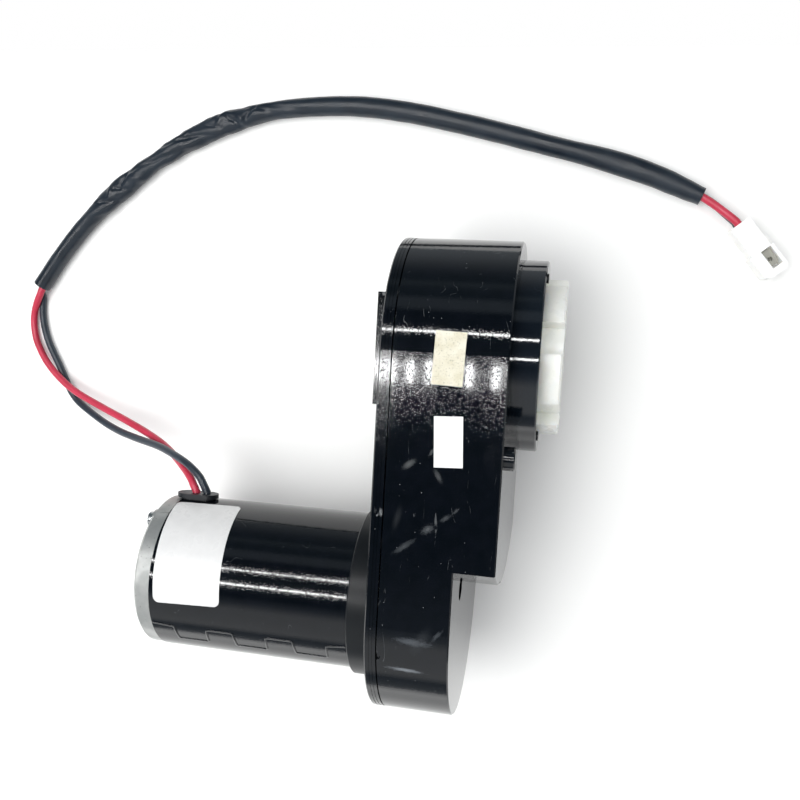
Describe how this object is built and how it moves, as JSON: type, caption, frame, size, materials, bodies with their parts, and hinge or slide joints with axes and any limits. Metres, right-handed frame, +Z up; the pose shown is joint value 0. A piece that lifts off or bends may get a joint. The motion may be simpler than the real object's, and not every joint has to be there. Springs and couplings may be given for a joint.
{
  "type": "gearmotor",
  "caption": "Brushed DC gearmotor: offset spur gearbox in a black obround case, dogged white output driver, motor beside it, leads in a sleeve and a flat blade plug.",
  "frame": {"origin": "on the output axis, in the parting plane between gear case and cover", "axes": "+X along the output axis towards the wheel, +Y away from the motor, +Z up as the part lies on its side"},
  "size_m": [0.4217, 0.3085, 0.107],
  "materials": {
    "case_plastic": "moulded glass-filled nylon, glossy with handling smudges and fine scratches",
    "cover_plastic": "same moulding resin as the case, with a duller collar",
    "flange_plastic": "smooth glossy black moulding",
    "black_screw": "black zinc on steel",
    "driver_nylon": "natural nylon, slightly translucent, rubbed at the dogs",
    "bronze": "sintered bronze, oily",
    "plated_steel": "bright zinc plate",
    "ground_steel": "ground and polished",
    "gear_acetal": "white acetal",
    "sintered_steel": "sintered, steam treated",
    "can_paint": "gloss black coating over rolled steel, scuffed",
    "ferrite": "ground ferrite",
    "cap_metal": "die cast, matt grey",
    "lamination_steel": "stacked laminations under varnish",
    "copper_wire": "enamelled wire",
    "copper_bar": "turned copper",
    "bearing_steel": "polished rings with steel shields",
    "phenolic": "brown phenolic board",
    "carbon": "graphite block",
    "grommet_rubber": "soft black rubber",
    "red_insulation": "soft vinyl, satin",
    "black_insulation": "soft vinyl, satin",
    "sleeve_vinyl": "thin vinyl tube, satin and wrinkled",
    "plug_nylon": "natural white nylon",
    "tinned_blade": "tinned brass"
  },
  "bodies": {
    "case": {"gearbox_housing": "case_plastic", "gearbox_cover": "cover_plastic", "output_flange": "flange_plastic", "flange_screws": "black_screw", "case_screws": "black_screw", "output_bush": "bronze", "output_washer": "plated_steel", "first_shaft": "ground_steel", "second_shaft": "ground_steel", "shaft_washers": "plated_steel", "motor_can": "can_paint", "field_magnets": "ferrite", "rear_end_cap": "cap_metal", "front_end_plate": "cap_metal", "through_bolts": "plated_steel", "motor_screws": "plated_steel", "rear_bearing": "bearing_steel", "front_bearing": "bearing_steel", "brush_holder": "phenolic", "brushes": "carbon", "brush_springs": "plated_steel", "cable_grommet": "grommet_rubber", "red_lead": "red_insulation", "black_lead": "black_insulation", "cable_sleeve": "sleeve_vinyl", "red_tail": "red_insulation", "black_tail": "black_insulation", "plug_housing": "plug_nylon", "plug_blades": "tinned_blade"},
    "armature": {"armature_shaft": "ground_steel", "armature_core": "lamination_steel", "armature_windings": "copper_wire", "commutator": "copper_bar", "motor_pinion": "sintered_steel"},
    "first_gear_body": {"first_gear": "gear_acetal"},
    "second_gear_body": {"second_gear": "gear_acetal", "second_pinion": "sintered_steel"},
    "output": {"output_gear": "driver_nylon"}
  },
  "joints": [
    {"name": "armature_spin", "type": "hinge", "parent": "case", "child": "armature", "pos_m": [0, -0.12201, 0], "axis": [1, 0, 0], "continuous": true},
    {"name": "first_gear_spin", "type": "hinge", "parent": "case", "child": "first_gear_body", "pos_m": [0, -0.10969, 0.02175], "axis": [1, 0, 0], "continuous": true},
    {"name": "second_gear_spin", "type": "hinge", "parent": "case", "child": "second_gear_body", "pos_m": [0, -0.057, 0], "axis": [1, 0, 0], "continuous": true},
    {"name": "output_spin", "type": "hinge", "parent": "case", "child": "output", "pos_m": [0, 0, 0], "axis": [1, 0, 0], "continuous": true}
  ],
  "couplings": [
    {"joint": "first_gear_spin", "follows": "armature_spin", "ratio": -0.38889},
    {"joint": "second_gear_spin", "follows": "armature_spin", "ratio": 0.17949},
    {"joint": "output_spin", "follows": "armature_spin", "ratio": -0.058438}
  ]
}
